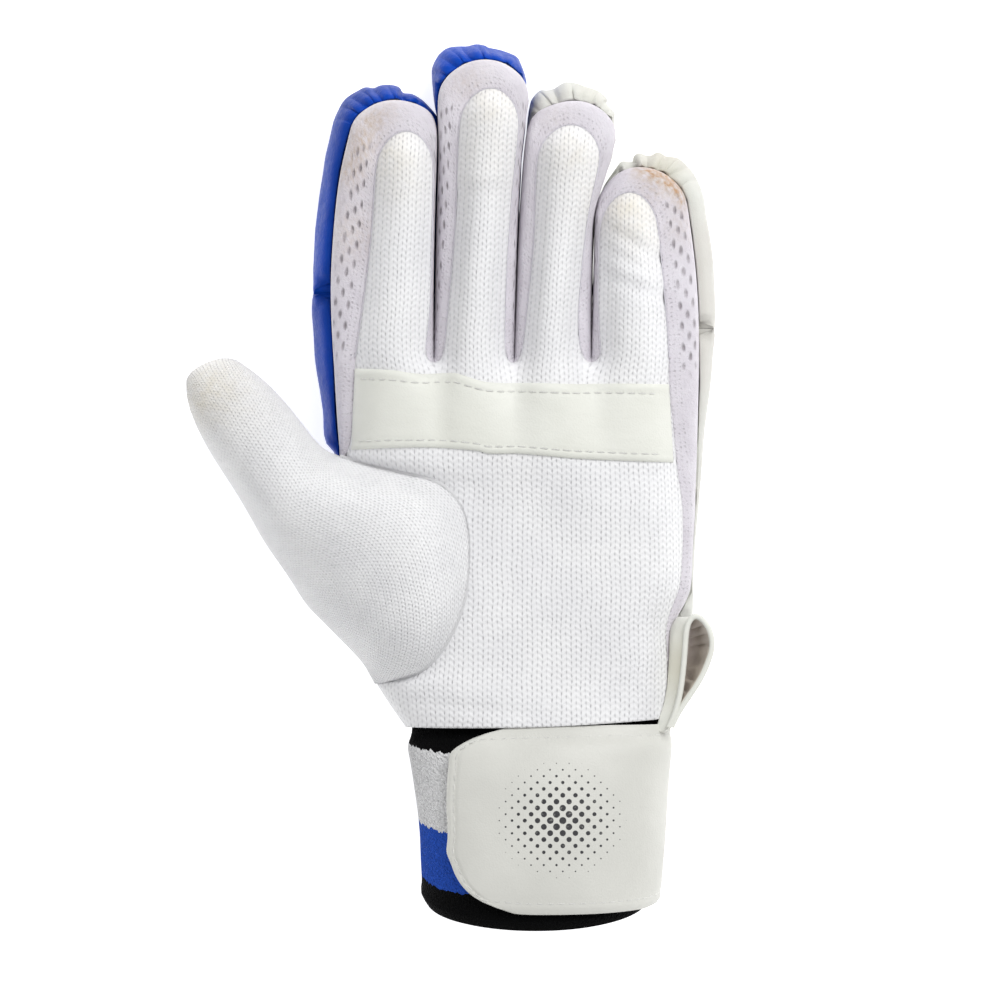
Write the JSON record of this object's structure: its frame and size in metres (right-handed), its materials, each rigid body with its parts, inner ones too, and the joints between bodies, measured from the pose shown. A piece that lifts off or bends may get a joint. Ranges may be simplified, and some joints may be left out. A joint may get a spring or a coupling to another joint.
{
  "type": "cricket batting glove",
  "caption": "Padded left-hand batting glove with knit palm, mesh finger sides, foam rolls on the back, striped wrist tube and wrap strap.",
  "frame": {"origin": "middle of the bounding box at the floor, where the glove rests on its padded back", "axes": "+X across the palm from the thumb to the little finger, +Y towards the fingertips, +Z out of the palm"},
  "size_m": [0.1552, 0.2544, 0.0582],
  "materials": {
    "knit": "matt white cotton knit",
    "mesh": "matt open mesh",
    "coated_white": "satin ivory coated fabric",
    "coated_blue": "satin royal blue coated fabric",
    "towelling": "looped towelling in blue, grey and black bands"
  },
  "bodies": {
    "root": {"palm_knit": "knit", "thumb_knit": "knit", "gusset_index": "mesh", "gusset_middle": "mesh", "gusset_ring": "mesh", "gusset_little": "mesh", "palm_patch": "coated_white", "back_sheet": "coated_white", "finger_roll_index": "coated_blue", "hand_roll_index": "coated_blue", "finger_roll_middle": "coated_blue", "hand_roll_middle": "coated_blue", "finger_roll_ring": "coated_white", "hand_roll_ring": "coated_white", "finger_roll_little": "coated_white", "hand_roll_little": "coated_white", "thumb_roll_1": "coated_blue", "thumb_roll_2": "coated_blue", "cuff": "towelling", "strap": "coated_white", "side_loop": "coated_white"}
  },
  "joints": []
}
